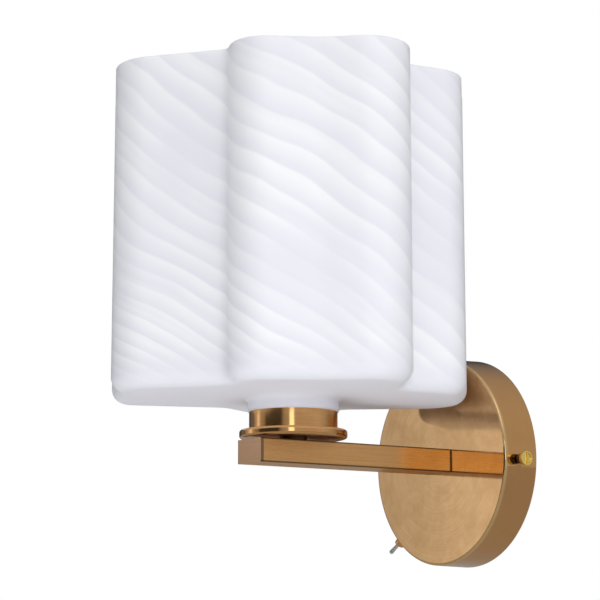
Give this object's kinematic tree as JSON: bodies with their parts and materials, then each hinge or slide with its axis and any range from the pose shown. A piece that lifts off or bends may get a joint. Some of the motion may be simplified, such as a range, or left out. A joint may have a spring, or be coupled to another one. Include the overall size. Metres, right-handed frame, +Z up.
{
  "type": "wall sconce",
  "caption": "Wall light with a lobed opal glass shade standing on a short square-section brass arm from a round wall plate with side thumb screws and a toggle switch.",
  "frame": {"origin": "centre of the bracket's back face, on the wall", "axes": "+Z up, +Y into the wall, the lamp stands out along -Y, +X to the right seen from the room"},
  "size_m": [0.1853, 0.2259, 0.2686],
  "materials": {
    "satin_brass": "lacquered antique brass, turned or brushed",
    "bright_brass": "polished",
    "zinc_steel": "bright zinc plate",
    "bright_steel": "bright nickel plate",
    "opal_glass": "matt opal with soft white swirls",
    "white_ceramic": "unglazed porcelain",
    "white_plastic": "moulded heat-resisting plastic",
    "black_plastic": "moulded phenolic"
  },
  "bodies": {
    "fixture": {"wall_bracket": "zinc_steel", "canopy": "satin_brass", "arm_tube": "satin_brass", "arm_end_cap": "satin_brass", "arm_root_plug": "satin_brass", "arm_nipple": "zinc_steel", "arm_washer": "zinc_steel", "arm_nut": "zinc_steel", "spacer_washer": "satin_brass", "collar_disc": "satin_brass", "shade_cup": "satin_brass", "lamp_nipple": "zinc_steel", "lamp_nut_lower": "zinc_steel", "lamp_nut_upper": "zinc_steel", "holder_cap": "white_plastic", "holder_core": "white_ceramic", "holder_sleeve": "white_plastic", "socket_shell": "bright_brass", "centre_contact": "bright_brass", "glass_shade": "opal_glass", "switch_body": "black_plastic", "switch_lugs": "bright_brass", "switch_bushing": "satin_brass", "switch_nut": "satin_brass", "terminal_block": "white_plastic", "terminal_screws": "zinc_steel", "block_screw": "zinc_steel", "earth_screw": "bright_brass"},
    "lever": {"switch_lever": "bright_steel"},
    "right_screw": {"side_screw_right": "bright_brass"},
    "left_screw": {"side_screw_left": "bright_brass"},
    "ring": {"shade_ring": "white_plastic"}
  },
  "joints": [
    {"name": "switch_toggle", "type": "hinge", "parent": "fixture", "child": "lever", "pos_m": [-0.04651, -0.014, -0.04337], "axis": [0.682, 0, -0.7314], "range_deg": [0, 30]},
    {"name": "right_screw_turn", "type": "hinge", "parent": "fixture", "child": "right_screw", "pos_m": [0.06, -0.0123, -0.002], "axis": [1, 0, 0], "continuous": true},
    {"name": "left_screw_turn", "type": "hinge", "parent": "fixture", "child": "left_screw", "pos_m": [-0.06, -0.0123, -0.002], "axis": [-1, 0, 0], "continuous": true},
    {"name": "ring_turn", "type": "hinge", "parent": "fixture", "child": "ring", "pos_m": [0, -0.12313, 0.0364], "axis": [0, 0, 1], "continuous": true}
  ]
}
